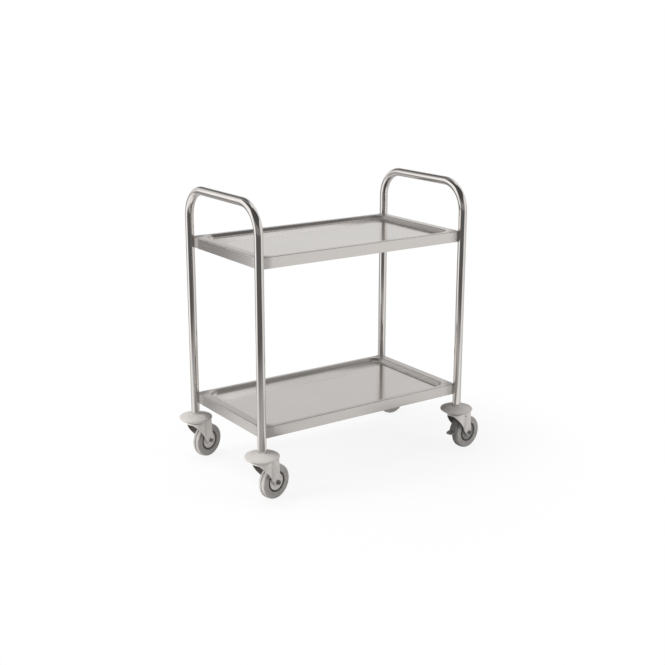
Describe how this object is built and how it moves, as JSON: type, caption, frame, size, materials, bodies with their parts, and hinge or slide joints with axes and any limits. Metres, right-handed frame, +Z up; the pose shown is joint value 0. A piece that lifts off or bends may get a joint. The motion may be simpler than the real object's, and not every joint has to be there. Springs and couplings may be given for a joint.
{
  "type": "two-tier serving trolley",
  "caption": "Two-tier serving trolley: pressed dished trays between bent tube end frames with handle bars, on swivel casters with round bumpers and brake pedals at one end.",
  "frame": {"origin": "on the floor, midway between the four legs", "axes": "+Z up, +X along the trays towards the end with the brakes, +Y across the trays towards the back"},
  "size_m": [0.8565, 0.49, 0.855],
  "materials": {
    "polished_stainless_tube": "mirror polished round tube",
    "stainless_tray": "fine brushed pressed sheet, semi bright",
    "stainless_bracket": "plain mill finish",
    "zinc_fastener": "bright zinc plate",
    "zinc_fork": "bright zinc plate on pressed steel",
    "blackened_lever": "black stoved paint on pressed steel",
    "bearing_steel": "ground bearing steel with grease",
    "bumper_grey": "smooth satin moulded",
    "hub_grey": "smooth moulded",
    "tyre_grey": "matt non-marking rubber",
    "bush_white": "plain acetal",
    "pad_black": "matt moulded"
  },
  "bodies": {
    "frame": {"left_end_frame": "polished_stainless_tube", "right_end_frame": "polished_stainless_tube", "upper_tray": "stainless_tray", "lower_tray": "stainless_tray", "tray_brackets": "stainless_bracket", "tray_bolts": "zinc_fastener", "tray_rivet_nuts": "zinc_fastener", "leg_plugs": "zinc_fastener", "front_left_bumper": "bumper_grey", "front_left_bearing_cup": "bearing_steel", "front_left_king_bolt": "zinc_fastener", "back_left_bumper": "bumper_grey", "back_left_bearing_cup": "bearing_steel", "back_left_king_bolt": "zinc_fastener", "front_right_bumper": "bumper_grey", "front_right_bearing_cup": "bearing_steel", "front_right_king_bolt": "zinc_fastener", "back_right_bumper": "bumper_grey", "back_right_bearing_cup": "bearing_steel", "back_right_king_bolt": "zinc_fastener"},
    "front_left_swivel": {"front_left_fork": "zinc_fork", "front_left_bearing_balls": "bearing_steel", "front_left_axle_bolt": "zinc_fastener", "front_left_axle_nut": "zinc_fastener", "front_left_axle_sleeve": "zinc_fastener"},
    "front_left_wheel": {"front_left_hub": "hub_grey", "front_left_tyre": "tyre_grey", "front_left_bushes": "bush_white"},
    "back_left_swivel": {"back_left_fork": "zinc_fork", "back_left_bearing_balls": "bearing_steel", "back_left_axle_bolt": "zinc_fastener", "back_left_axle_nut": "zinc_fastener", "back_left_axle_sleeve": "zinc_fastener"},
    "back_left_wheel": {"back_left_hub": "hub_grey", "back_left_tyre": "tyre_grey", "back_left_bushes": "bush_white"},
    "front_right_swivel": {"front_right_fork": "zinc_fork", "front_right_bearing_balls": "bearing_steel", "front_right_axle_bolt": "zinc_fastener", "front_right_axle_nut": "zinc_fastener", "front_right_axle_sleeve": "zinc_fastener", "front_right_brake_pin": "zinc_fastener"},
    "front_right_wheel": {"front_right_hub": "hub_grey", "front_right_tyre": "tyre_grey", "front_right_bushes": "bush_white"},
    "front_right_brake": {"front_right_brake_pedal": "blackened_lever", "front_right_brake_pad": "pad_black"},
    "back_right_swivel": {"back_right_fork": "zinc_fork", "back_right_bearing_balls": "bearing_steel", "back_right_axle_bolt": "zinc_fastener", "back_right_axle_nut": "zinc_fastener", "back_right_axle_sleeve": "zinc_fastener", "back_right_brake_pin": "zinc_fastener"},
    "back_right_wheel": {"back_right_hub": "hub_grey", "back_right_tyre": "tyre_grey", "back_right_bushes": "bush_white"},
    "back_right_brake": {"back_right_brake_pedal": "blackened_lever", "back_right_brake_pad": "pad_black"}
  },
  "joints": [
    {"name": "front_left_swivel_turn", "type": "hinge", "parent": "frame", "child": "front_left_swivel", "pos_m": [-0.355, -0.195, 0.1252], "axis": [0, 0, 1], "continuous": true},
    {"name": "front_left_wheel_roll", "type": "hinge", "parent": "front_left_swivel", "child": "front_left_wheel", "pos_m": [-0.31115, -0.18488, 0.0515], "axis": [-0.225, 0.9744, 0], "continuous": true},
    {"name": "back_left_swivel_turn", "type": "hinge", "parent": "frame", "child": "back_left_swivel", "pos_m": [-0.355, 0.195, 0.1252], "axis": [0, 0, 1], "continuous": true},
    {"name": "back_left_wheel_roll", "type": "hinge", "parent": "back_left_swivel", "child": "back_left_wheel", "pos_m": [-0.31197, 0.20816, 0.0515], "axis": [-0.2924, 0.9563, 0], "continuous": true},
    {"name": "front_right_swivel_turn", "type": "hinge", "parent": "frame", "child": "front_right_swivel", "pos_m": [0.355, -0.195, 0.1252], "axis": [0, 0, 1], "continuous": true},
    {"name": "front_right_wheel_roll", "type": "hinge", "parent": "front_right_swivel", "child": "front_right_wheel", "pos_m": [0.39966, -0.18952, 0.0515], "axis": [-0.1219, 0.9925, 0], "continuous": true},
    {"name": "front_right_brake_press", "type": "hinge", "parent": "front_right_swivel", "child": "front_right_brake", "pos_m": [0.38272, -0.1916, 0.10876], "axis": [0.1219, -0.9925, 0], "range_deg": [0, 4.8]},
    {"name": "back_right_swivel_turn", "type": "hinge", "parent": "frame", "child": "back_right_swivel", "pos_m": [0.355, 0.195, 0.1252], "axis": [0, 0, 1], "continuous": true},
    {"name": "back_right_wheel_roll", "type": "hinge", "parent": "back_right_swivel", "child": "back_right_wheel", "pos_m": [0.39997, 0.19657, 0.0515], "axis": [-0.0349, 0.9994, 0], "continuous": true},
    {"name": "back_right_brake_press", "type": "hinge", "parent": "back_right_swivel", "child": "back_right_brake", "pos_m": [0.38291, 0.19597, 0.10876], "axis": [0.0349, -0.9994, 0], "range_deg": [0, 4.8]}
  ]
}
